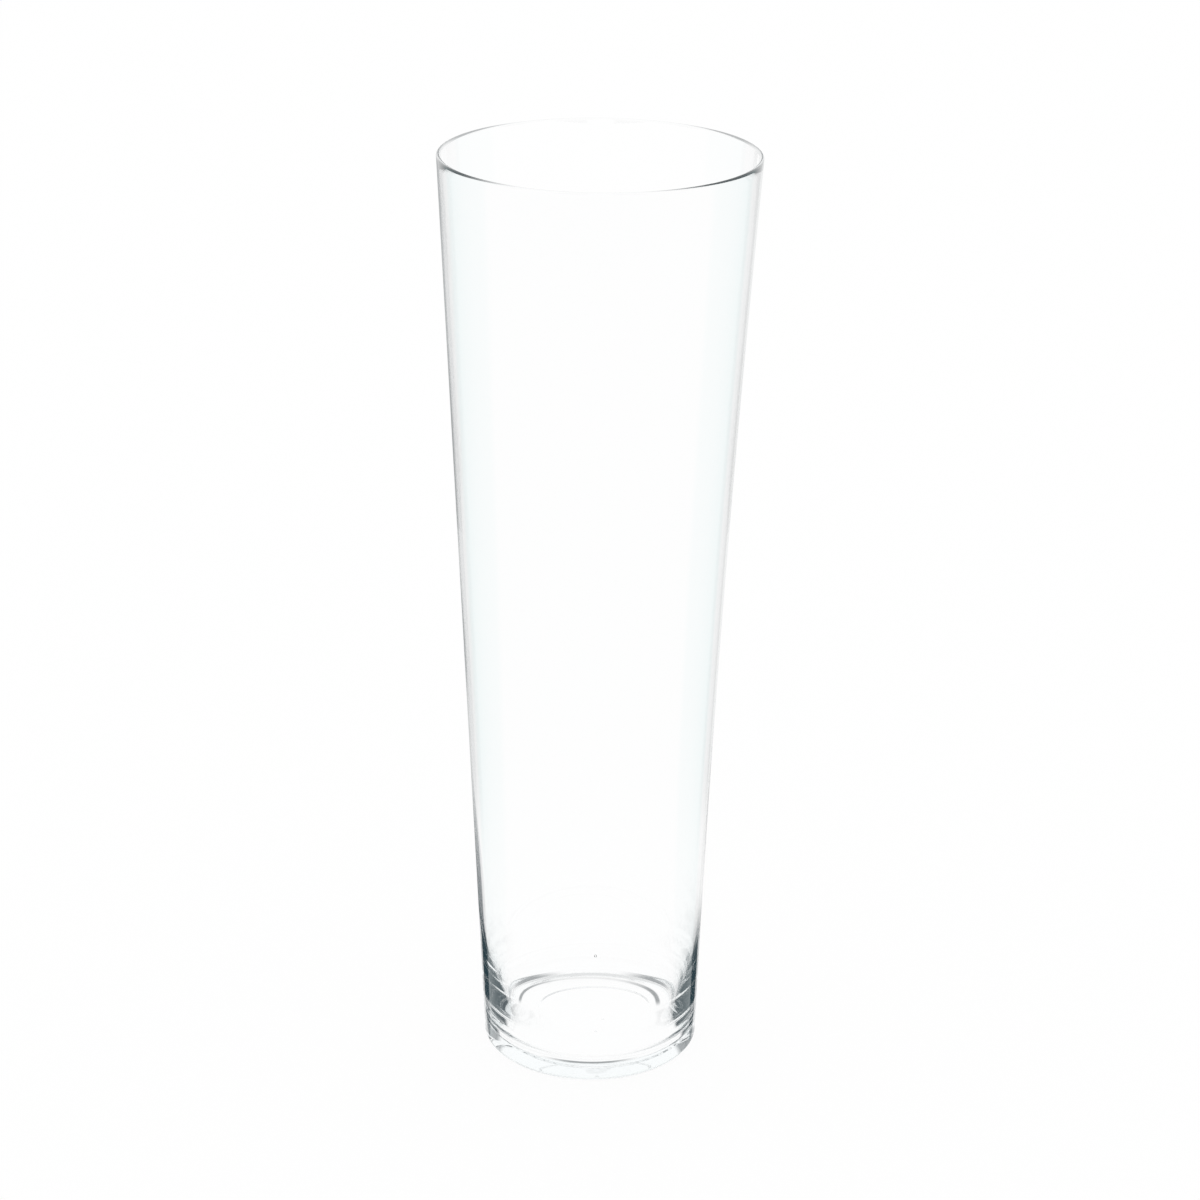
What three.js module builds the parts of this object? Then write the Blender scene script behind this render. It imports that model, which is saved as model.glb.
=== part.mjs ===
// Tall conical vase, blown from clear glass in one piece: a narrow foot, a wall that opens slowly
// to a wide mouth, a thick base with a shallow hollow under it, and a lip rounded in the flame.
// Millimetres, +Z up. The origin is on the table, under the centre of the foot.
import * as THREE from "three";

// The outside
const vaseHeight = 500;
const rimDiameter = 165;
const footDiameter = 118;
const wallDraw = 1.5; // how far the wall draws in from a straight cone, half way up
const footEdgeRadius = 2.7;

// The glass between outside and inside
const lipThickness = 2.4;
const bodyThickness = 2;
const shoulderThickness = 7.2; // the wall beside the floor, where glass gathers
const gatherHeight = 34; // the climb in which that extra glass falls to about a third
const gatherPower = 2.4; // how steeply it falls there; the swell is soft above and full below
const floorThickness = 6.2;
const floorCornerWidth = 9;
const floorCornerHeight = 11.5;

// The underside
const hollowDiameter = 74;
const hollowRampWidth = 6; // the soft step from the standing ring up into the hollow
const hollowDepth = 1.2;

// How finely the curves are cut into facets
const turnFacets = 72;
const rampSteps = 5;
const footEdgeSteps = 5;
const wallStations = 9;
const gatherStations = 12;
const lipSteps = 6;
const cornerSteps = 7;

const quarterTurn = Math.PI / 2;

// Radius of the outside at a height above the table.
function outsideRadius(height) {
  const share = height / vaseHeight;
  const straight = THREE.MathUtils.lerp(footDiameter / 2, rimDiameter / 2, share);
  return straight - wallDraw * 4 * share * (1 - share);
}

// Thickness of the wall at a height above the table: even up the body, a little fuller at the lip,
// and swelling down towards the floor in the shape of half a bell.
function wallThickness(height) {
  const climb = Math.max(height - floorThickness, 0);
  const share = climb / (vaseHeight - floorThickness);
  const plain = THREE.MathUtils.lerp(bodyThickness, lipThickness, share * share);
  const swell = Math.exp(-((climb / gatherHeight) ** gatherPower));
  return plain + (shoulderThickness - plain) * swell;
}

function insideRadius(height) {
  return outsideRadius(height) - wallThickness(height);
}

// Points on part of an ellipse in the profile plane, from one angle to another, without its first.
function arc(centreRadius, centreHeight, halfWidth, halfHeight, from, to, steps) {
  const points = [];
  for (let step = 1; step <= steps; step += 1) {
    const angle = THREE.MathUtils.lerp(from, to, step / steps);
    points.push(
      new THREE.Vector2(
        centreRadius + halfWidth * Math.cos(angle),
        centreHeight + halfHeight * Math.sin(angle),
      ),
    );
  }
  return points;
}

// Even stations from low to high, both included.
function stations(low, high, count) {
  return Array.from({ length: count + 1 }, (unused, index) =>
    THREE.MathUtils.lerp(low, high, index / count),
  );
}

// The shallow hollow under the base: flat in the middle, then an S-shaped ramp out to the ring that
// the vase stands on.
function undersideHollow() {
  const hollowRadius = hollowDiameter / 2;
  const flatRadius = hollowRadius - hollowRampWidth;
  const ramp = stations(flatRadius, hollowRadius, rampSteps).map((radius) => {
    const drop = THREE.MathUtils.smoothstep(radius, flatRadius, hollowRadius);
    return new THREE.Vector2(radius, hollowDepth * (1 - drop));
  });
  return [new THREE.Vector2(0, hollowDepth), ...ramp];
}

// The flat standing ring ends in a small rounded edge that runs into the wall.
function footEdge() {
  const edge = footEdgeRadius;
  const ringOuterRadius = outsideRadius(edge) - edge;
  return [
    new THREE.Vector2(ringOuterRadius, 0),
    ...arc(ringOuterRadius, edge, edge, edge, -quarterTurn, 0, footEdgeSteps),
  ];
}

const lipRadius = lipThickness / 2;
const lipHeight = vaseHeight - lipRadius;
const cornerTop = floorThickness + floorCornerHeight;

function outsideWall() {
  return stations(footEdgeRadius, lipHeight, wallStations)
    .slice(1)
    .map((height) => new THREE.Vector2(outsideRadius(height), height));
}

// The lip is a half round from the outside over to the inside.
function lip() {
  const centreRadius = outsideRadius(lipHeight) - lipRadius;
  return arc(centreRadius, lipHeight, lipRadius, lipRadius, 0, 2 * quarterTurn, lipSteps);
}

// The inside comes down in even steps, then in finer ones where the wall swells.
function insideWall() {
  const gatherTop = floorThickness + 2 * gatherHeight;
  const upper = stations(gatherTop, lipHeight, wallStations).slice(0, -1);
  const lower = stations(cornerTop, gatherTop, gatherStations).slice(0, -1);
  return [...upper.reverse(), ...lower.reverse()].map(
    (height) => new THREE.Vector2(insideRadius(height), height),
  );
}

// A wide rounded corner leads from the wall to the flat floor of the cavity.
function cavityFloor() {
  const centreRadius = insideRadius(cornerTop) - floorCornerWidth;
  return [
    ...arc(centreRadius, cornerTop, floorCornerWidth, floorCornerHeight, 0, -quarterTurn, cornerSteps),
    new THREE.Vector2(0, floorThickness),
  ];
}

// Turns a profile about the vase's upright axis.
function turned(profile) {
  return new THREE.LatheGeometry(profile, turnFacets).rotateX(quarterTurn);
}

const clearGlass = new THREE.MeshStandardMaterial({
  color: 0xf2f8f7,
  roughness: 0.02,
  metalness: 0,
  transparent: true,
  opacity: 0.25,
});

const vase = new THREE.Mesh(
  turned([
    ...undersideHollow(),
    ...footEdge(),
    ...outsideWall(),
    ...lip(),
    ...insideWall(),
    ...cavityFloor(),
  ]),
  clearGlass,
);
vase.name = "vase";

const conicalVase = new THREE.Group();
conicalVase.add(vase);

export default conicalVase;
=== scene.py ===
# %% [markdown]
# # A tall conical vase of clear glass
#
# The vase is one piece of blown glass: a narrow thick foot, a wall that opens slowly towards the mouth,
# and a lip that was rounded in the flame. Glass has almost no colour of its own, so everything that
# the eye reads as "vase" is light that bends or bounces in it. That is why this lesson spends its
# effort on two things: the true thickness of the glass at every height, and the white studio that
# shines through it. Some of that light is painted: a glow in the glass near the lip, and shade on
# the sheet under and beside the foot.

# %% Load the imported model
import math

import bmesh
import bpy
import numpy as np
from mathutils import Matrix
from mathutils import Vector


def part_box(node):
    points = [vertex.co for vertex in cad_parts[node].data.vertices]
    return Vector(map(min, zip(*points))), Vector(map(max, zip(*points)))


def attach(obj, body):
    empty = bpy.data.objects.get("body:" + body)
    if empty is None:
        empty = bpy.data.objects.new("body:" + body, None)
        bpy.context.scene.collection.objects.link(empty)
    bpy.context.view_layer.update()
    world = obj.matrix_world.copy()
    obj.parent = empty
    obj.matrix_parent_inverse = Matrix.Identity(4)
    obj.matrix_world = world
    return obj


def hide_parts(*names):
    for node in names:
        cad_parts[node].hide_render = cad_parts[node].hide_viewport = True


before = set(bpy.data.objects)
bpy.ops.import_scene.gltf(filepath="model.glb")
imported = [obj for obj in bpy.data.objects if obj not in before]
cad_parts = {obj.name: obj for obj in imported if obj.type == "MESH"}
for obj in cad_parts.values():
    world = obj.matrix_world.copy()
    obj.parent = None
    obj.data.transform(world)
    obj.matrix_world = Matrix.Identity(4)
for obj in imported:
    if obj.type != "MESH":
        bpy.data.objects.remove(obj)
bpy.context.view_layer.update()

# %% [markdown]
# ## The sizes of the vase
#
# A maker would measure a vase with a ruler and a caliper: height, the two diameters, and the glass
# at the lip, in the body and beside the floor. The same few numbers are enough here, because the
# curves between them are formulas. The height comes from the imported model, and the rest are the
# sizes of the real vase in metres.

# %% Driving sizes
low_corner, high_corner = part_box("vase")
HEIGHT = high_corner.z - low_corner.z
FOOT_RADIUS = 0.0589
RIM_RADIUS = 0.0823
WALL_DRAW = 0.0015
FOOT_EDGE_RADIUS = 0.0027

LIP_THICKNESS = 0.0024
BODY_THICKNESS = 0.0020
SHOULDER_THICKNESS = 0.0072
GATHER_HEIGHT = 0.034
GATHER_POWER = 2.4

FLOOR_THICKNESS = 0.0062
CORNER_WIDTH = 0.009
CORNER_HEIGHT = 0.0115

HOLLOW_RADIUS = 0.0355
HOLLOW_RAMP = 0.003
HOLLOW_DEPTH = 0.0006
HOLLOW_OFFSET = 0.0025
CAVITY_OFFSET = 0.0004

MM_PER_METRE = 1000

print("height", HEIGHT, "mouth", 2 * RIM_RADIUS, "foot", 2 * FOOT_RADIUS)

# %% [markdown]
# ## The outside and the wall
#
# The outside is nearly a cone, drawn in by a millimetre or two half way up. The wall is even in the
# body and swells towards the floor, where the hot glass gathered. A bell-shaped swell is used,
# because it starts softly in the body and turns steep only near the floor, as gathered glass does.


# %% Radius and thickness at a height
def outside_radius(height):
    share = height / HEIGHT
    cone = FOOT_RADIUS + (RIM_RADIUS - FOOT_RADIUS) * share
    return cone - WALL_DRAW * 4 * share * (1 - share)


def wall_thickness(height):
    climb = np.maximum(height - FLOOR_THICKNESS, 0)
    share = climb / (HEIGHT - FLOOR_THICKNESS)
    plain = BODY_THICKNESS + (LIP_THICKNESS - BODY_THICKNESS) * share * share
    swell = np.exp(-((climb / GATHER_HEIGHT) ** GATHER_POWER))
    return plain + (SHOULDER_THICKNESS - plain) * swell


for height in (0.02, 0.05, 0.1, 0.3):
    print("wall at", height, "is", round(MM_PER_METRE * float(wall_thickness(height)), 2), "mm")

# %% [markdown]
# ## The profile
#
# The section of the vase is one closed line, from the middle of the underside, round the foot, up
# the outside, over the lip, down the inside and back to the middle of the floor. It could be drawn by
# hand as a curve, but here it is four short functions that hand over to each other, so that each can
# be read beside the real glass. The two in this cell make the line up to the lip.

# %% Underside and outside
FLAT_STEPS = 7
HOLLOW_STEPS = 24
FOOT_STEPS = 16
LOWER_TOP = 0.12
LOWER_STEPS = 90
UPPER_STEPS = 90

LIP_RADIUS = LIP_THICKNESS / 2
LIP_HEIGHT = HEIGHT - LIP_RADIUS


def quarter_points(centre, width, tall, start, stop, steps):
    """Points on part of an ellipse in the profile plane, without the first one."""
    turn = np.radians(np.linspace(start, stop, steps + 1)[1:])
    return [(centre[0] + width * math.cos(a), centre[1] + tall * math.sin(a)) for a in turn]


def underside():
    """The shallow hollow, which starts at a soft step inside the standing ring."""
    flat = HOLLOW_RADIUS - HOLLOW_RAMP
    radii = np.linspace(flat, HOLLOW_RADIUS, HOLLOW_STEPS)
    share = (radii - flat) / HOLLOW_RAMP
    rise = HOLLOW_DEPTH * (1 - share * share * (3 - 2 * share))
    inner = [(radius, HOLLOW_DEPTH) for radius in np.linspace(0, flat, FLAT_STEPS + 1)[:-1]]
    return inner + list(zip(radii, rise))


def outside_wall():
    ring = outside_radius(FOOT_EDGE_RADIUS) - FOOT_EDGE_RADIUS
    edge = quarter_points((ring, FOOT_EDGE_RADIUS), FOOT_EDGE_RADIUS, FOOT_EDGE_RADIUS, -90, 0, FOOT_STEPS)
    lower = np.linspace(FOOT_EDGE_RADIUS, LOWER_TOP, LOWER_STEPS)[1:]
    upper = np.linspace(LOWER_TOP, LIP_HEIGHT, UPPER_STEPS)[1:]
    heights = np.concatenate([lower, upper])
    return [(ring, 0.0)] + edge + list(zip(outside_radius(heights), heights))


print("underside and outside of", len(underside()), "and", len(outside_wall()), "points")

# %% [markdown]
# ## The lip and the inside
#
# The flame leaves the lip as a half round. Below it, the inside follows the outside at the thickness
# of the wall, and a wide soft corner leads to the flat floor of the cavity. Offsetting the whole
# outside by one thickness would be shorter, but the swell and the corner would be lost.

# %% Lip and inside
LIP_STEPS = 16
CORNER_STEPS = 32
FLOOR_STEPS = 16
CORNER_TOP = FLOOR_THICKNESS + CORNER_HEIGHT


def lip():
    centre = (outside_radius(LIP_HEIGHT) - LIP_RADIUS, LIP_HEIGHT)
    return quarter_points(centre, LIP_RADIUS, LIP_RADIUS, 0, 180, LIP_STEPS)


def inside():
    upper = np.linspace(LIP_HEIGHT, LOWER_TOP, UPPER_STEPS)[1:]
    lower = np.linspace(LOWER_TOP, CORNER_TOP, LOWER_STEPS)[1:]
    heights = np.concatenate([upper, lower])
    wall = list(zip(outside_radius(heights) - wall_thickness(heights), heights))
    centre = (wall[-1][0] - CORNER_WIDTH, CORNER_TOP)
    corner = quarter_points(centre, CORNER_WIDTH, CORNER_HEIGHT, 0, -90, CORNER_STEPS)
    floor = [(radius, FLOOR_THICKNESS) for radius in np.linspace(centre[0], 0, FLOOR_STEPS)[1:]]
    return wall + corner + floor


profile = np.array(underside() + outside_wall() + lip() + inside())
print("profile of", len(profile), "points")

# %% [markdown]
# ## The small errors of handwork
#
# Glass that is blown and drawn by hand is never quite true: here the axis leans by a millimetre half
# way up and comes back at the lip, the hollow under the foot sits a little to one side, and so does
# the cavity, which finds the middle again towards the lip. The inside never touched a mould, so it
# also rolls by a few hundredths of a millimetre on its way round. A noise would do for the rolling, but
# three slow waves close smoothly after a full turn and are the same in every run.

# %% Lean and roll
AXIS_LEAN = -0.00143
ROLL_SIZE = 0.00005
# Each wave: how often it goes round, where it starts, and how far it turns per metre of height.
ROLL_WAVES = ((2, 0.7, 19.0), (3, 2.1, -31.0), (5, 4.0, 47.0))
ROLL_FADE = 0.03
CAVITY_FADE = 0.06


def axis_shift(height):
    share = height / HEIGHT
    return AXIS_LEAN * 4 * share * (1 - share)


def part_shift(section):
    """How far each ring sits off the axis: the hollow and the cavity, but not the outside and the lip."""
    shift = np.zeros(len(section))
    shift[:len(underside())] = HOLLOW_OFFSET
    cavity = len(inside())
    share = np.clip((LIP_HEIGHT - section[-cavity:, 1]) / CAVITY_FADE, 0, 1)
    shift[-cavity:] = CAVITY_OFFSET * share * share * (3 - 2 * share)
    return shift


def inner_roll(section, angles):
    """Slow waves of the inside wall, which fade out at the lip and at the floor of the cavity."""
    height = section[:, 1][:, None]
    waves = sum(
        np.sin(count * angles + start + climb * height) / count for count, start, climb in ROLL_WAVES
    )
    below_lip = np.clip((LIP_HEIGHT - height) / ROLL_FADE, 0, 1)
    above_floor = np.clip((height - FLOOR_THICKNESS) / ROLL_FADE, 0, 1)
    inner = np.zeros((len(section), 1))
    inner[-len(inside()):] = 1
    return ROLL_SIZE * waves * inner * below_lip * above_floor


print("the axis leans by", round(MM_PER_METRE * axis_shift(HEIGHT / 2), 2), "mm half way up")

# %% [markdown]
# ## Turn the profile into a mesh
#
# A lathe turns the profile about the upright axis. Blender's screw modifier does that too, but here
# each ring needs its own small shift. The two ends lie near the axis and become single points, so
# the skin is one closed surface without stray faces.

# %% Lathe
TURN_STEPS = 384


def turned_mesh(name, section, turns):
    """A closed mesh of revolution; the section starts and ends on the axis."""
    angles = np.linspace(0, 2 * math.pi, turns, endpoint=False)
    shift = part_shift(section) + axis_shift(section[:, 1])
    rings = section[1:-1]
    height = rings[:, 1][:, None]
    radius = rings[:, 0][:, None] + inner_roll(section, angles)[1:-1]
    x = radius * np.cos(angles) + shift[1:-1][:, None]
    y = radius * np.sin(angles)
    z = np.broadcast_to(height, x.shape)
    body = np.stack([x, y, z], axis=-1).reshape(-1, 3)
    ends = [[shift[0], 0.0, section[0][1]], [shift[-1], 0.0, section[-1][1]]]
    points = np.concatenate([[ends[0]], body, [ends[1]]])
    ring_start = 1 + turns * np.arange(len(rings))[:, None]
    here = ring_start + np.arange(turns)
    after = ring_start + (np.arange(turns) + 1) % turns
    quads = np.stack([here[:-1], after[:-1], after[1:], here[1:]], axis=-1).reshape(-1, 4)
    first = [(0, int(b), int(a)) for a, b in zip(here[0], after[0])]
    final = [(len(points) - 1, int(a), int(b)) for a, b in zip(here[-1], after[-1])]
    mesh = bpy.data.meshes.new(name)
    mesh.from_pydata(points.tolist(), [], first + quads.tolist() + final)
    mesh.shade_smooth()
    mesh.validate()
    return mesh


glass_mesh = turned_mesh("glass_vase", profile, TURN_STEPS)
glass_vase = bpy.data.objects.new("glass_vase", glass_mesh)
bpy.context.scene.collection.objects.link(glass_vase)
print("glass_vase has", len(glass_mesh.vertices), "points and", len(glass_mesh.polygons), "faces")

# %% [markdown]
# ## Seeds
#
# A few tiny bubbles, which glassmakers call seeds, stay in blown glass. The photograph shows one in
# the lower wall as a dark speck and two faint ones in the base. Each is a small closed skin inside
# the glass, turned inside out, because its outside is air and its surroundings are glass.

# %% Seeds in the wall and in the base
SEEDS = (
    ((0.00244, -0.06073, 0.07846), (0.00068, 0.00050, 0.00095)),
    ((0.00730, -0.01067, 0.00320), (0.00075, 0.00062, 0.00045)),
    ((0.00317, -0.02064, 0.00320), (0.00085, 0.00055, 0.00045)),
)
SEED_DIVISIONS = 3
LONGEST_SEED = max(max(half_size) for centre, half_size in SEEDS)


def add_seeds(mesh):
    shapes = bmesh.new()
    shapes.from_mesh(mesh)
    for centre, half_size in SEEDS:
        place = Matrix.Translation(centre) @ Matrix.Diagonal((*half_size, 1.0))
        made = bmesh.ops.create_icosphere(shapes, subdivisions=SEED_DIVISIONS, radius=1.0, matrix=place)
        skin = list({face for point in made["verts"] for face in point.link_faces})
        bmesh.ops.reverse_faces(shapes, faces=skin)
        for face in skin:
            face.smooth = True
    shapes.to_mesh(mesh)
    shapes.free()


add_seeds(glass_mesh)
print(len(SEEDS), "seeds, the largest", 2 * MM_PER_METRE * LONGEST_SEED, "mm long")

# %% [markdown]
# ## Small helpers for materials
#
# Every material here is a small graph of nodes. They could be typed out node by node, but then the
# idea drowns in plumbing. These helpers only save typing: one adds a node, one does a sum, one
# eases a value from one level to another, and one starts an empty material.


# %% Node helpers
def add_node(tree, kind, **settings):
    node = tree.nodes.new(kind)
    for key, value in settings.items():
        setattr(node, key, value)
    return node


def feed(tree, socket, value):
    if isinstance(value, (int, float)):
        socket.default_value = value
    else:
        tree.links.new(value, socket)


def sum_of(tree, operation, first, second=0.0):
    node = add_node(tree, "ShaderNodeMath", operation=operation)
    feed(tree, node.inputs[0], first)
    feed(tree, node.inputs[1], second)
    return node.outputs[0]


def eased(tree, value, start, stop, low, high):
    """low where value is start or less, high where it is stop or more, and a soft curve between."""
    node = add_node(tree, "ShaderNodeMapRange", interpolation_type="SMOOTHSTEP")
    for socket, given in zip(node.inputs, (value, start, stop, low, high)):
        feed(tree, socket, given)
    return node.outputs[0]


def new_material(name):
    material = bpy.data.materials.new(name)
    material.use_nodes = True
    material.node_tree.nodes.clear()
    return material


print("helpers for nodes: add_node, feed, sum_of, eased, new_material")

# %% [markdown]
# ## Conditions and choices
#
# A rule such as "in front and high up" is a product of numbers that are 0 or 1, with soft steps
# where the eye would catch a hard one. Group nodes could hold them too, but short functions read
# more like the rule itself. A Mix node has one set of sockets for each kind of value, all with the
# same names, so its colour sockets are picked by number.

# %% Rule helpers
COLOUR_A = 6
COLOUR_B = 7
COLOUR_OUT = 2


def both(tree, first, second):
    return sum_of(tree, "MULTIPLY", first, second)


def larger(tree, first, second):
    return sum_of(tree, "MAXIMUM", first, second)


def absolute(tree, value):
    return sum_of(tree, "ABSOLUTE", value)


def between(tree, value, low, high, soft):
    """1 where value lies between low and high, 0 outside, with soft edges."""
    risen = eased(tree, value, low - soft / 2, low + soft / 2, 0.0, 1.0)
    fallen = eased(tree, value, high - soft / 2, high + soft / 2, 1.0, 0.0)
    return both(tree, risen, fallen)


def either(tree, condition, when_true, when_false):
    """One number or another, by a condition that is 0 or 1."""
    difference = sum_of(tree, "SUBTRACT", when_true, when_false)
    return sum_of(tree, "ADD", when_false, both(tree, condition, difference))


def choose(tree, share, dark, bright):
    """bright where share is 1 and dark where it is 0."""
    node = add_node(tree, "ShaderNodeMix", data_type="RGBA")
    feed(tree, node.inputs[0], share)
    node.inputs[COLOUR_A].default_value = dark
    node.inputs[COLOUR_B].default_value = bright
    return node.outputs[COLOUR_OUT]


print("helpers for rules: both, larger, absolute, between, either, choose")

# %% [markdown]
# ## Kinds of light
#
# A photographer lights glass from behind, so that the body stays clear and the edges turn dark:
# light at the edge has bounced about in the wall, and comes from the dim sides of the room. Dim
# cards could stand beside the vase, but the cards that suit one kind of light spoil another. Light
# Path counts how often a ray was bent and how often it bounced, and that tells the kinds apart.

# %% Counts of bends and bounces
HALF_STEP = 0.5


def light_path(tree):
    return add_node(tree, "ShaderNodeLightPath").outputs


def bends(path):
    return path["Transmission Depth"]


def bounces(path):
    return path["Glossy Depth"]


def exactly(tree, count, number):
    """1 where a whole count is this number."""
    return sum_of(tree, "COMPARE", count, float(number))


def at_least(tree, count, number):
    """1 where a whole count is this number or more."""
    return sum_of(tree, "GREATER_THAN", count, number - HALF_STEP)


def at_most(tree, count, number):
    """1 where a whole count is this number or less."""
    return sum_of(tree, "LESS_THAN", count, number + HALF_STEP)


def mirrored(tree, path):
    """1 for light that the outside of the glass mirrors, and that never went in."""
    return both(tree, path["Is Glossy Ray"], at_most(tree, bends(path), 0))


def straight_through(tree, path):
    """1 for light that crossed both walls without a bounce."""
    return both(tree, exactly(tree, bends(path), 4), at_most(tree, bounces(path), 0))


def one_wall(tree, path):
    """1 for light that went into one wall and came out of it again."""
    return exactly(tree, bends(path), 2)


def edge_light(tree, path):
    """1 for light that also bounced just once inside that wall."""
    return both(tree, one_wall(tree, path), exactly(tree, bounces(path), 1))


def two_walls(tree, path):
    """1 for light that crossed the cavity and bounced two to four times on its way."""
    a_few = both(tree, at_least(tree, bounces(path), 2), at_most(tree, bounces(path), 4))
    return both(tree, at_least(tree, bends(path), 4), a_few)


print("two bends are one wall of glass, and four are both walls")

# %% [markdown]
# ## Clear glass
#
# Soda-lime glass bends light by 1.52 and is polished all over, so its roughness is nothing. Where it
# is thick it has a faint cool tint, which a volume absorbs over the path of the light, so the foot is
# tinted and the wall isn't. A tinted surface would be easier, but it would tint thin and thick alike.
# Blown glass also keeps faint vertical waves from the drawing: a noise in the glass's own
# coordinates, stretched along the wall, raises a bump of a few thousandths of a millimetre. Waves in
# the mesh would need far more faces for the same look.

# %% Waves and tint
GLASS_IOR = 1.52
GLASS_TINT = (0.55, 0.82, 0.90, 1.0)
GLASS_DENSITY = 0.8
WAVE_SCALE = 9.0
WAVE_STRETCH = (1.0, 1.0, 0.16)
WAVE_DETAIL = 1.0
WAVE_DISTANCE = 0.000004


def polished_glass(tree, place):
    shader = add_node(tree, "ShaderNodeBsdfPrincipled")
    shader.inputs["Base Color"].default_value = (1.0, 1.0, 1.0, 1.0)
    shader.inputs["Transmission Weight"].default_value = 1.0
    shader.inputs["IOR"].default_value = GLASS_IOR
    shader.inputs["Roughness"].default_value = 0.0
    stretch = add_node(tree, "ShaderNodeMapping")
    stretch.inputs["Scale"].default_value = WAVE_STRETCH
    tree.links.new(place, stretch.inputs["Vector"])
    waves = add_node(tree, "ShaderNodeTexNoise")
    waves.inputs["Scale"].default_value = WAVE_SCALE
    waves.inputs["Detail"].default_value = WAVE_DETAIL
    tree.links.new(stretch.outputs[0], waves.inputs["Vector"])
    bump = add_node(tree, "ShaderNodeBump")
    bump.inputs["Distance"].default_value = WAVE_DISTANCE
    tree.links.new(waves.outputs["Fac"], bump.inputs["Height"])
    tree.links.new(bump.outputs[0], shader.inputs["Normal"])
    return shader


def cool_volume(tree):
    tint = add_node(tree, "ShaderNodeVolumeAbsorption")
    tint.inputs["Color"].default_value = GLASS_TINT
    tint.inputs["Density"].default_value = GLASS_DENSITY
    return tint


print("waves of", round(WAVE_DISTANCE * MM_PER_METRE, 4), "mm")

# %% [markdown]
# ## Painted light guided down from the lip
#
# The lip catches light and sends it down the thin wall, which guides it like a pipe. It would take
# hundreds of bounces to reach the foot, more than a renderer follows. So that light is painted: light
# that has bounced often up there meets a glow in the glass itself, with the tone that it would find in
# the end: white in front and behind, near black at the sides, and a grey patch between the sides and
# the back. Further down, all of it fades to the dark tone, which the trapped light of the lower wall
# has too.

# %% Guided light
GUIDED_BOUNCES = 5
GUIDED_HEIGHT = 0.30
GUIDED_FULL_HEIGHT = 0.43
PAINTED_GLOW_DIM = (0.075, 0.085, 0.09, 1.0)
PAINTED_GLOW_WHITE = (0.97, 0.97, 0.97, 1.0)
GUIDED_TURN = math.radians(8.0)
GUIDED_FRONT = math.radians(22.0)
GUIDED_SIDE = math.radians(58.0)
GUIDED_END = math.radians(70.0)
GUIDED_BACK = math.radians(104.0)
PATCH_START = math.radians(118.0)
PATCH_STOP = math.radians(146.0)
PATCH_SOFT = math.radians(20.0)
PATCH_LEVEL = 0.45


def painted_glow_level(tree, spot):
    """How white the painted glow is: by the way round from the front, and by the height."""
    around = sum_of(tree, "ARCTAN2", spot["X"], both(tree, spot["Y"], -1.0))
    turned = absolute(tree, sum_of(tree, "ADD", around, GUIDED_TURN))
    in_front = eased(tree, turned, GUIDED_FRONT, GUIDED_SIDE, 1.0, 0.0)
    around = absolute(tree, around)
    patch = between(tree, around, PATCH_START, PATCH_STOP, PATCH_SOFT)
    behind = eased(tree, around, GUIDED_END, GUIDED_BACK, 0.0, 1.0)
    behind = both(tree, behind, either(tree, patch, PATCH_LEVEL, 1.0))
    near_lip = eased(tree, spot["Z"], GUIDED_HEIGHT, GUIDED_FULL_HEIGHT, 0.0, 1.0)
    return both(tree, near_lip, larger(tree, in_front, behind))


def clear_glass():
    material = new_material("clear_glass")
    tree = material.node_tree
    output = add_node(tree, "ShaderNodeOutputMaterial")
    place = add_node(tree, "ShaderNodeTexCoord").outputs["Object"]
    apart = add_node(tree, "ShaderNodeSeparateXYZ")
    tree.links.new(place, apart.inputs[0])
    spot = apart.outputs
    high_up = sum_of(tree, "GREATER_THAN", spot["Z"], GUIDED_HEIGHT)
    often = at_least(tree, bounces(light_path(tree)), GUIDED_BOUNCES)
    # Painted light: the glass itself glows, though it is no lamp, where light bounced often near the lip.
    guided = add_node(tree, "ShaderNodeEmission")
    colour = choose(tree, painted_glow_level(tree, spot), PAINTED_GLOW_DIM, PAINTED_GLOW_WHITE)
    tree.links.new(colour, guided.inputs["Color"])
    mix = add_node(tree, "ShaderNodeMixShader")
    tree.links.new(both(tree, high_up, often), mix.inputs[0])
    tree.links.new(polished_glass(tree, place).outputs[0], mix.inputs[1])
    tree.links.new(guided.outputs[0], mix.inputs[2])
    tree.links.new(mix.outputs[0], output.inputs["Surface"])
    tree.links.new(cool_volume(tree).outputs[0], output.inputs["Volume"])
    material.cycles.emission_sampling = "NONE"
    return material


glass_mesh.materials.append(clear_glass())
print("clear glass bends light by", GLASS_IOR)

# %% [markdown]
# ## Tones of the studio
#
# Whatever light finds in this studio lies between white and a dim blue-grey, which is the tone of
# the dark lines in the glass. Light that bounced once, or that the outside mirrors, is also a little
# cool where it comes from the sides. Coloured lamps would do that as well, but they would tint the
# floor too.

# %% Studio tones
STUDIO_DIM = (0.026, 0.050, 0.062, 1.0)
STUDIO_WHITE = (1.0, 1.0, 1.0, 1.0)
STUDIO_COOL = (0.71, 0.89, 0.89, 1.0)
COOL_START = math.radians(42.0)
COOL_SOFT = math.radians(8.0)
COOL_STOP = math.radians(92.0)
TWO_WALLS_LEVEL = 0.75


def studio_tone(tree, level, cool):
    """The colour for a level from dim to white, made cool where cool is 1."""
    node = add_node(tree, "ShaderNodeMix", data_type="RGBA", blend_type="MULTIPLY")
    feed(tree, node.inputs[0], cool)
    feed(tree, node.inputs[COLOUR_A], choose(tree, level, STUDIO_DIM, STUDIO_WHITE))
    node.inputs[COLOUR_B].default_value = STUDIO_COOL
    return node.outputs[COLOUR_OUT]


def cool_share(tree, path, angle):
    once = larger(tree, mirrored(tree, path), edge_light(tree, path))
    return both(tree, once, between(tree, angle, COOL_START, COOL_STOP, COOL_SOFT))


print("the dim tone is", STUDIO_DIM[:3])

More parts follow.
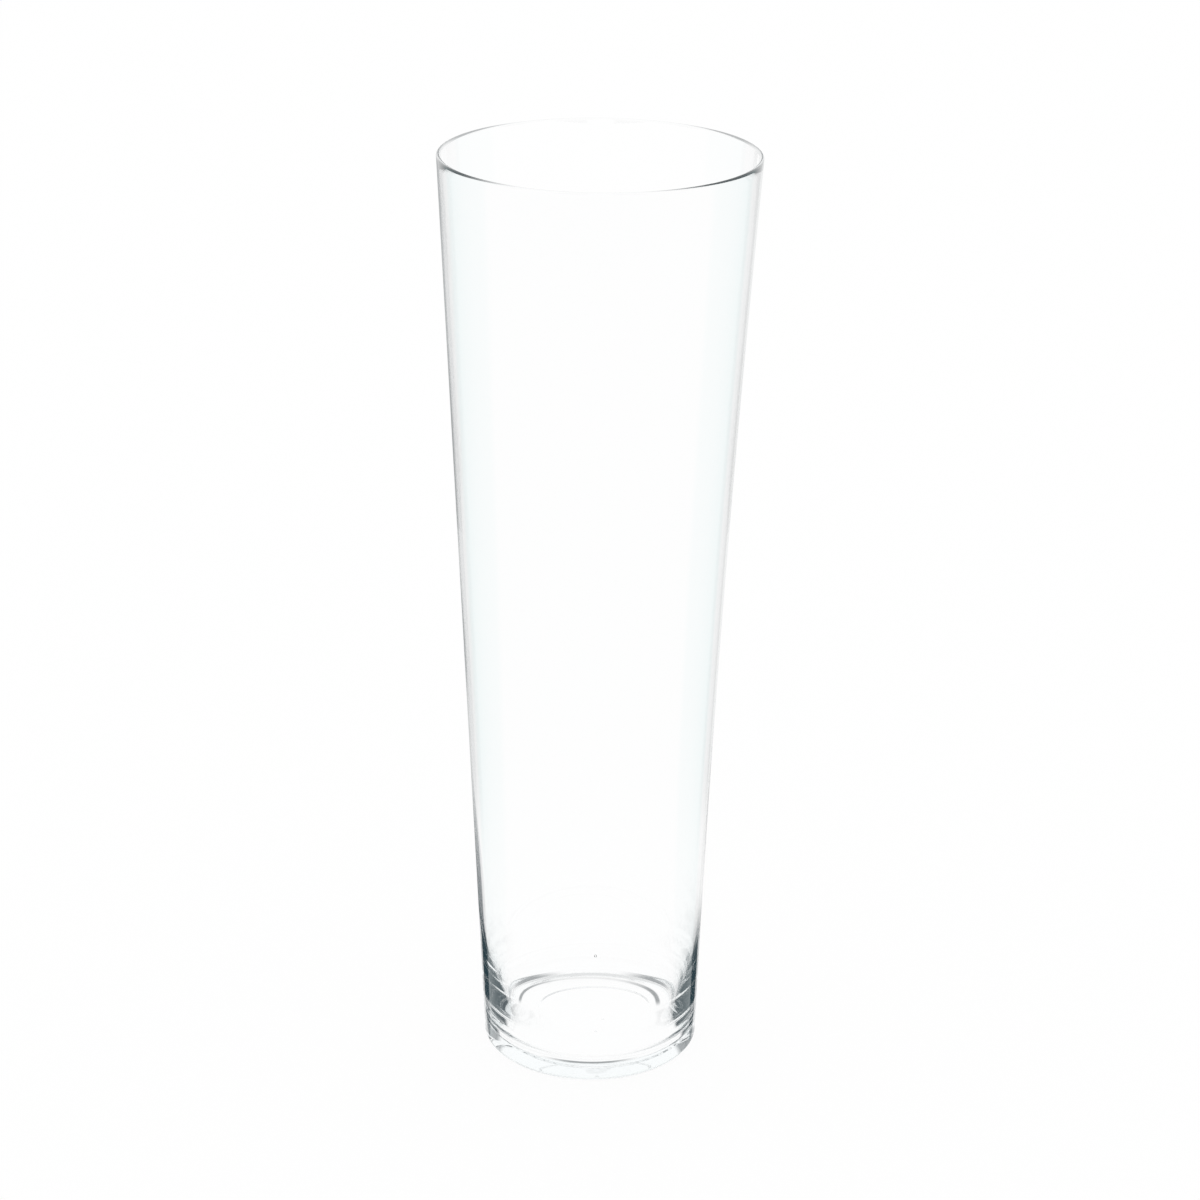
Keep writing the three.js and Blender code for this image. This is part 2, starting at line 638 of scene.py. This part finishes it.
# %% [markdown]
# ## The dim parts of the room
#
# The room is a plain white world with a white ceiling. Light that bounced about ten times in the
# glass finds a window in front and one behind, and dim walls between them. After three or five
# bounces it finds a dim card at each side, and after a single bounce soft cards an eighth of a turn
# apart. All of these stand still in the room, so nothing slides over the glass as the viewer walks
# round it.

# %% Windows, flanks and cards
WALL_FEW = 8.0
WALL_MANY = 10.0
WINDOW_SPAN = math.radians(90.0)
WINDOW_INSIDE = math.radians(9.0)
WINDOW_OUTSIDE = math.radians(18.0)
CROSSED_CEILING = math.sin(math.radians(32.0))
FLANK_START = math.radians(54.0)
FLANK_STOP = math.radians(86.0)
FLANK_SOFT = math.radians(8.0)
FLANK_DIM = 0.8
CARD_SPAN = math.radians(45.0)
CARD_START = math.radians(10.0)
CARD_STOP = math.radians(33.0)
CARD_SOFT = math.radians(4.0)


def dim_walls(tree, path, azimuth, climb):
    """1 beside the windows, for light that bounced many times."""
    beside_window = sum_of(tree, "PINGPONG", azimuth, WINDOW_SPAN)
    beside_window = eased(tree, beside_window, WINDOW_INSIDE, WINDOW_OUTSIDE, 0.0, 1.0)
    many = eased(tree, bounces(path), WALL_FEW, WALL_MANY, 0.0, 1.0)
    low = sum_of(tree, "LESS_THAN", climb, CROSSED_CEILING)
    crossed = both(tree, at_least(tree, bends(path), 4), low)
    went_in = larger(tree, one_wall(tree, path), crossed)
    return both(tree, both(tree, went_in, many), beside_window)


def dim_flanks(tree, path, azimuth):
    """Dim cards at the two sides, for light that bounced three or five times."""
    three = exactly(tree, bounces(path), 3)
    five = exactly(tree, bounces(path), 5)
    few = both(tree, one_wall(tree, path), larger(tree, three, five))
    flank = between(tree, absolute(tree, azimuth), FLANK_START, FLANK_STOP, FLANK_SOFT)
    return both(tree, both(tree, few, flank), FLANK_DIM)


def soft_cards(tree, azimuth):
    """1 on the cards that stand an eighth of a turn apart."""
    beside_quarter = sum_of(tree, "PINGPONG", azimuth, CARD_SPAN)
    return between(tree, beside_quarter, CARD_START, CARD_STOP, CARD_SOFT)


print("windows are", round(math.degrees(2 * WINDOW_OUTSIDE)), "degrees wide")

# %% [markdown]
# ## The room
#
# Now the dim parts come together in one world. Reflections on the outside see the soft cards too,
# and the rest of the room a little below white, which draws the edges of the vase on white paper.
# A picture of a studio could light the room as well, but it couldn't tell the kinds of light apart.

# %% World
CEILING_LOW = math.sin(math.radians(36.0))
CEILING_HIGH = math.sin(math.radians(46.0))
SHINE_LEVEL = 0.90
SHINE_CARD_LEVEL = 0.5


def room_level(tree, path, azimuth, climb):
    card = soft_cards(tree, azimuth)
    dim = larger(tree, dim_walls(tree, path, azimuth, climb), dim_flanks(tree, path, azimuth))
    dim = either(tree, edge_light(tree, path), card, dim)
    below_ceiling = eased(tree, climb, CEILING_LOW, CEILING_HIGH, 1.0, 0.0)
    level = sum_of(tree, "SUBTRACT", 1.0, both(tree, dim, below_ceiling))
    level = both(tree, level, either(tree, two_walls(tree, path), TWO_WALLS_LEVEL, 1.0))
    shine = either(tree, card, SHINE_CARD_LEVEL, SHINE_LEVEL)
    return either(tree, mirrored(tree, path), shine, level)


def studio_world():
    world = bpy.data.worlds.new("white_room")
    world.use_nodes = True
    tree = world.node_tree
    tree.nodes.clear()
    output = add_node(tree, "ShaderNodeOutputWorld")
    background = add_node(tree, "ShaderNodeBackground")
    path = light_path(tree)
    direction = add_node(tree, "ShaderNodeSeparateXYZ")
    tree.links.new(add_node(tree, "ShaderNodeTexCoord").outputs["Generated"], direction.inputs[0])
    azimuth = sum_of(tree, "ARCTAN2", direction.outputs["X"], direction.outputs["Y"])
    level = room_level(tree, path, azimuth, direction.outputs["Z"])
    cool = cool_share(tree, path, absolute(tree, azimuth))
    tree.links.new(studio_tone(tree, level, cool), background.inputs["Color"])
    tree.links.new(background.outputs[0], output.inputs["Surface"])
    return world


bpy.context.scene.world = studio_world()
print("the room is white, with dim sides for light trapped in the glass")

# %% [markdown]
# ## Places on the floor
#
# The vase stands on a wide pale sheet, a hair below the foot. Shade is painted on the sheet for light
# that reaches it through the glass, and the tone that light finds depends on the place, so the rules
# need a few measures of it: how far it lies from the axis and to the side, how far round from the
# back, and which way it lies seen from the side of the foot. A painted image could hold the same
# tones, but it would blur close up, and a formula stays sharp.

# %% Measures on the floor
FLOOR_HALF = 6.0
FLOOR_DROP = 0.0002
STRIP_OUT = 0.059
STRIP_BACK = -0.015


def floor_sheet():
    mesh = bpy.data.meshes.new("floor")
    s = FLOOR_HALF
    mesh.from_pydata([(-s, -s, 0), (s, -s, 0), (s, s, 0), (-s, s, 0)], [], [(0, 1, 2, 3)])
    sheet = bpy.data.objects.new("floor", mesh)
    sheet.location.z = -FLOOR_DROP
    bpy.context.scene.collection.objects.link(sheet)
    return sheet


def floor_measures(tree):
    point = add_node(tree, "ShaderNodeNewGeometry").outputs["Position"]
    from_axis = add_node(tree, "ShaderNodeVectorMath", operation="LENGTH")
    tree.links.new(point, from_axis.inputs[0])
    spot = add_node(tree, "ShaderNodeSeparateXYZ")
    tree.links.new(point, spot.inputs[0])
    across = spot.outputs["X"]
    along = spot.outputs["Y"]
    beside = absolute(tree, across)
    outward = sum_of(tree, "SUBTRACT", beside, STRIP_OUT)
    backward = sum_of(tree, "SUBTRACT", along, STRIP_BACK)
    return {
        "point": point,
        "distance": from_axis.outputs["Value"],
        "is_left": sum_of(tree, "LESS_THAN", across, 0.0),
        "sideness": sum_of(tree, "DIVIDE", beside, from_axis.outputs["Value"]),
        "around": sum_of(tree, "ARCTAN2", beside, along),
        "way": sum_of(tree, "ARCTAN2", outward, backward),
    }


floor = floor_sheet()
print("floor of", 2 * FLOOR_HALF, "m")

# %% [markdown]
# ## Strips of painted shade beside the foot
#
# Two grey strips of painted shade run back over the sheet, one from each side of the foot, and turn
# the edges of the wall dark. The right one soon turns nearly white and the left one stays grey, because
# the left edge of the vase is the darker of the two. They could be strips of grey paper, but then every
# kind of light would see them.

# %% Strips
START_NEAR = math.radians(22.0)
START_FAR = math.radians(8.0)
START_INSIDE = 0.14
START_OUTSIDE = 0.17
STRIP_STOP = CARD_STOP
SHINE_STOP = math.radians(46.0)
STOP_INSIDE = 0.20
STOP_OUTSIDE = 0.38
STOP_FAR = math.radians(23.0)
SIDE_STOP = math.radians(50.0)
SIDE_LEVEL = 0.72
LEFT_NEAR = 0.14
LEFT_FAR = 0.40
LEFT_LEVEL = 0.60
LEFT_BEYOND = 0.60
LEFT_LAST = 0.85
LEFT_BEYOND_LEVEL = 0.38
RIGHT_NEAR = 0.115
RIGHT_FAR = 0.20
RIGHT_LEVEL = 0.87


def painted_strip_shade(tree, place):
    """How bright the painted shade of the strip is: dark near the foot, paler further out."""
    distance = place["distance"]
    left = eased(tree, distance, LEFT_NEAR, LEFT_FAR, 0.0, LEFT_LEVEL)
    left_beyond = eased(tree, distance, LEFT_BEYOND, LEFT_LAST, 1.0, LEFT_BEYOND_LEVEL)
    left = sum_of(tree, "MINIMUM", left, left_beyond)
    right = eased(tree, distance, RIGHT_NEAR, RIGHT_FAR, 0.0, RIGHT_LEVEL)
    return either(tree, place["is_left"], left, right)


def after_start(tree, place):
    start = eased(tree, place["distance"], START_INSIDE, START_OUTSIDE, START_NEAR, START_FAR)
    past = sum_of(tree, "SUBTRACT", place["way"], start)
    return eased(tree, past, -CARD_SOFT / 2, CARD_SOFT / 2, 0.0, 1.0)


def on_strip(tree, place, near_stop):
    """1 on the strip, which is near_stop wide at the foot and narrower further out."""
    stop = eased(tree, place["distance"], STOP_INSIDE, STOP_OUTSIDE, near_stop, STOP_FAR)
    past = sum_of(tree, "SUBTRACT", place["way"], stop)
    return both(tree, after_start(tree, place), eased(tree, past, -CARD_SOFT, 0.0, 1.0, 0.0))


def painted_side_shade(tree, place):
    """White paper with a little painted grey shade beside the far part of the strip."""
    before_stop = eased(tree, place["way"], SIDE_STOP - CARD_SOFT, SIDE_STOP, 1.0, 0.0)
    grey = eased(tree, place["distance"], STOP_INSIDE, STOP_OUTSIDE, 1.0, SIDE_LEVEL)
    return either(tree, both(tree, after_start(tree, place), before_stop), grey, 1.0)


print("the strips start", round(MM_PER_METRE * STRIP_OUT, 1), "mm to each side of the axis")

# %% [markdown]
# ## Painted shadow rings round and under the foot
#
# Three dark rings of painted shade show through the base. One is the shadow in the gap between the
# foot's rounded edge and the sheet. One is shade along the step of the hollow, which sits off the
# middle. Both are thin, and light that comes straight through sees them. The third is wider, and only
# light that bounced once in the base finds it. Real grooves in the glass would bend the light around
# them as well, so plain rings painted on the sheet are the calmer way.

# %% Rings
RING_EDGE = 0.001
CONTACT_INSIDE = 0.0575
CONTACT_OUTSIDE = 0.0608
CONTACT_START = math.radians(14.0)
CONTACT_FULL = math.radians(40.0)
CONTACT_SHADOW_LEVEL = 0.25
BOUNCE_RING_INSIDE = 0.038
BOUNCE_RING_OUTSIDE = 0.0485
BOUNCE_RING_FULL = 0.2
BOUNCE_RING_GONE = 0.6
BOUNCE_SHADOW_LEVEL = 0.3
STEP_RING_CENTRE = (-0.0018, 0.004, -FLOOR_DROP)
STEP_RING_INSIDE = 0.0425
STEP_RING_OUTSIDE = 0.0455
STEP_RING_EDGE = 0.0014
STEP_RING_START = math.radians(15.0)
STEP_RING_FULL = math.radians(60.0)
STEP_RING_STOP = math.radians(76.0)
STEP_RING_END = math.radians(86.0)
STEP_RING_LEAST = 0.2
STEP_SHADOW_LEVEL = 0.16


# Painted shadow: a dark ring where the foot's rounded edge meets the sheet, for light that came straight
# through.
def contact_shadow_ring(tree, path, place):
    off_quarter = sum_of(tree, "PINGPONG", place["around"], CARD_SPAN)
    strength = eased(tree, off_quarter, CONTACT_START, CONTACT_FULL, 0.0, 1.0)
    ring = between(tree, place["distance"], CONTACT_INSIDE, CONTACT_OUTSIDE, RING_EDGE)
    return both(tree, straight_through(tree, path), both(tree, ring, strength))


# Painted shade: a dark ring along the step of the hollow, off the middle, for light that came straight
# through.
def step_shadow_ring(tree, path, place):
    off_centre = add_node(tree, "ShaderNodeVectorMath", operation="DISTANCE")
    off_centre.inputs[1].default_value = STEP_RING_CENTRE
    tree.links.new(place["point"], off_centre.inputs[0])
    away = off_centre.outputs["Value"]
    ring = between(tree, away, STEP_RING_INSIDE, STEP_RING_OUTSIDE, STEP_RING_EDGE)
    fading = eased(tree, place["around"], STEP_RING_START, STEP_RING_FULL, STEP_RING_LEAST, 1.0)
    ending = eased(tree, place["around"], STEP_RING_STOP, STEP_RING_END, 1.0, 0.0)
    return both(tree, straight_through(tree, path), both(tree, ring, both(tree, fading, ending)))


# Painted shade: a wider dark ring for light that bounced once in the base.
def bounce_shadow_ring(tree, path, place):
    ring = between(tree, place["distance"], BOUNCE_RING_INSIDE, BOUNCE_RING_OUTSIDE, RING_EDGE)
    fading = eased(tree, place["sideness"], BOUNCE_RING_FULL, BOUNCE_RING_GONE, 1.0, 0.0)
    return both(tree, edge_light(tree, path), both(tree, ring, fading))


print("the contact ring is", round(MM_PER_METRE * (CONTACT_OUTSIDE - CONTACT_INSIDE), 1), "mm wide")

# %% [markdown]
# ## Painted shade on the sheet under and beside the vase
#
# Under the foot the sheet is painted dark for light that was trapped in the base: soonest at the two
# sides, later at the back, and not at all in front, where the foot catches the light of the room.
# Outside the foot, light that bounced often finds the whole sheet painted dim, and light that bounced
# once finds the painted strips. A dark disc under the foot would be simpler, but it would darken the
# clear middle too.

# %% Floor levels
FLOOR_FEW = 6.0
FLOOR_MANY = 8.0
UNDER_FOOT = 0.058
UNDER_FEW = 2.0
UNDER_MORE = 3.0
UNDER_LEAST = -2.0
UNDER_BACK = math.radians(80.0)
UNDER_BESIDE = math.radians(92.0)
UNDER_SIDE = math.radians(104.0)
UNDER_FRONT = math.radians(110.0)


# Painted shade under the foot for light trapped in the base, with the painted rings on top.
def painted_shade_under(tree, path, place):
    few = eased(tree, place["around"], UNDER_BACK, UNDER_BESIDE, UNDER_FEW, UNDER_LEAST)
    many = sum_of(tree, "ADD", few, UNDER_MORE)
    trapped = eased(tree, bounces(path), few, many, 0.0, 1.0)
    behind_front = eased(tree, place["around"], UNDER_SIDE, UNDER_FRONT, 1.0, 0.0)
    trapped = both(tree, trapped, both(tree, behind_front, at_least(tree, bounces(path), 1)))
    level = sum_of(tree, "SUBTRACT", 1.0, both(tree, one_wall(tree, path), trapped))
    level = either(tree, step_shadow_ring(tree, path, place), STEP_SHADOW_LEVEL, level)
    level = both(tree, level, either(tree, two_walls(tree, path), TWO_WALLS_LEVEL, 1.0))
    return either(tree, bounce_shadow_ring(tree, path, place), BOUNCE_SHADOW_LEVEL, level)


# Painted shade beside the foot: a dim sheet for light that bounced often, the painted strips for light
# that bounced once, and the painted contact shadow.
def painted_shade_beside(tree, path, place):
    many = eased(tree, bounces(path), FLOOR_FEW, FLOOR_MANY, 0.0, 1.0)
    level = sum_of(tree, "SUBTRACT", 1.0, both(tree, one_wall(tree, path), many))
    strips = on_strip(tree, place, STRIP_STOP)
    strips = either(tree, strips, painted_strip_shade(tree, place), painted_side_shade(tree, place))
    level = either(tree, edge_light(tree, path), strips, level)
    return either(tree, contact_shadow_ring(tree, path, place), CONTACT_SHADOW_LEVEL, level)


def painted_shade_through_glass(tree, path, place):
    beneath = sum_of(tree, "LESS_THAN", place["distance"], UNDER_FOOT)
    under = painted_shade_under(tree, path, place)
    return either(tree, beneath, under, painted_shade_beside(tree, path, place))


print("the foot covers the sheet up to", round(MM_PER_METRE * UNDER_FOOT, 1), "mm from the axis")

# %% [markdown]
# ## White paper with painted shade
#
# The camera sees the sheet as white paper with a breath of the vase's shadow: most of it glows, and a
# small share is plain matt paper that takes the shadow. Light that went through the glass finds the
# painted shade described above. Reflections on the outside see a painted reflection: the strips too,
# and the rest of the sheet a little below white, less so near the foot. A lit sheet alone would show
# the far floor greyer than the room.

# %% Paper
PAPER_WHITE = (0.97, 0.97, 0.97, 1.0)
PAPER_GLOW = 0.95
NEAR_INSIDE = 0.12
NEAR_OUTSIDE = 0.45
NEAR_LEVEL = 0.97
FAR_LEVEL = 0.8
NEAR_COOL = 0.3


# Painted reflection: the tone of the sheet in reflections on the outside of the glass.
def painted_reflection_level(tree, place):
    plain = eased(tree, place["distance"], NEAR_INSIDE, NEAR_OUTSIDE, NEAR_LEVEL, FAR_LEVEL)
    plain = sum_of(tree, "MINIMUM", painted_side_shade(tree, place), plain)
    return either(tree, on_strip(tree, place, SHINE_STOP), painted_strip_shade(tree, place), plain)


# The paper's glow: evenly white for the camera, with painted shade and painted reflection for light that
# met the glass.
def glow_and_painted_shade(tree, path, place):
    level = either(tree, mirrored(tree, path), painted_reflection_level(tree, place), 1.0)
    level = either(tree, at_least(tree, bends(path), 1), painted_shade_through_glass(tree, path, place), level)
    cool = cool_share(tree, path, place["way"])
    cool = both(tree, cool, eased(tree, place["distance"], NEAR_INSIDE, NEAR_OUTSIDE, NEAR_COOL, 1.0))
    glow = add_node(tree, "ShaderNodeEmission")
    tree.links.new(studio_tone(tree, level, cool), glow.inputs["Color"])
    return glow


def paper():
    material = new_material("white_paper_and_painted_shade")
    tree = material.node_tree
    output = add_node(tree, "ShaderNodeOutputMaterial")
    path = light_path(tree)
    matt = add_node(tree, "ShaderNodeBsdfDiffuse")
    matt.inputs["Color"].default_value = PAPER_WHITE
    seen = sum_of(tree, "SUBTRACT", 1.0, path["Is Diffuse Ray"])
    camera_part = both(tree, path["Is Camera Ray"], PAPER_GLOW - 1.0)
    mix = add_node(tree, "ShaderNodeMixShader")
    tree.links.new(sum_of(tree, "ADD", seen, camera_part), mix.inputs[0])
    tree.links.new(matt.outputs[0], mix.inputs[1])
    tree.links.new(glow_and_painted_shade(tree, path, floor_measures(tree)).outputs[0], mix.inputs[2])
    tree.links.new(mix.outputs[0], output.inputs["Surface"])
    return material


floor.data.materials.append(paper())
print("the paper glows for", round(100 * PAPER_GLOW), "percent of what the camera sees")

# %% [markdown]
# ## The camera
#
# The camera looks down on the vase from a third of a metre above its lip and a metre and a half
# away. It could be moved about until the picture looks right, but a vase is a surface of revolution,
# so its place, its tilt and its lens can be worked out from the outline in the photograph: the rim,
# the foot and both edges of the wall.

# %% Camera
PHOTO_SIDE_PIXELS = 1200
FOCAL_PIXELS = 2971.352
SENSOR_MM = 36.0
CAMERA_DISTANCE = 2.93109 * HEIGHT
CAMERA_HEIGHT = 1.68812 * HEIGHT
CAMERA_PITCH = 0.379819
CAMERA_YAW = 0.001802
CAMERA_ROLL = 0.012344


def camera_axes():
    forward = Vector((
        math.sin(CAMERA_YAW) * math.cos(CAMERA_PITCH),
        math.cos(CAMERA_YAW) * math.cos(CAMERA_PITCH),
        -math.sin(CAMERA_PITCH),
    ))
    level_right = Vector((math.cos(CAMERA_YAW), -math.sin(CAMERA_YAW), 0.0))
    level_up = level_right.cross(forward)
    right = math.cos(CAMERA_ROLL) * level_right + math.sin(CAMERA_ROLL) * level_up
    up = -math.sin(CAMERA_ROLL) * level_right + math.cos(CAMERA_ROLL) * level_up
    return right, up, -forward


camera_data = bpy.data.cameras.new("camera")
camera_data.sensor_width = SENSOR_MM
camera_data.lens = SENSOR_MM * FOCAL_PIXELS / PHOTO_SIDE_PIXELS
camera = bpy.data.objects.new("camera", camera_data)
place = Matrix(camera_axes()).transposed().to_4x4()
place.translation = (0.0, -CAMERA_DISTANCE, CAMERA_HEIGHT)
camera.matrix_world = place
bpy.context.scene.collection.objects.link(camera)
bpy.context.scene.camera = camera
print("camera lens", round(camera_data.lens, 1), "mm, at", [round(v, 3) for v in place.translation])

# %% [markdown]
# ## Light through many surfaces
#
# A ray that crosses the thick foot may bend or bounce more than twenty times before it leaves. The
# renderer's usual limit would stop it and leave black flecks, so the limits are raised.

# %% Bounce limits and view
LIGHT_BOUNCES = 32
cycles = bpy.context.scene.cycles
cycles.max_bounces = LIGHT_BOUNCES
cycles.transmission_bounces = LIGHT_BOUNCES
cycles.glossy_bounces = LIGHT_BOUNCES
bpy.context.scene.view_settings.view_transform = "Standard"
print("rays may bounce", LIGHT_BOUNCES, "times")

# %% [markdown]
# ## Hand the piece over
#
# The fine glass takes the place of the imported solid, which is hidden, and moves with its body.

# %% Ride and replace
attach(glass_vase, "root")
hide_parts("vase")
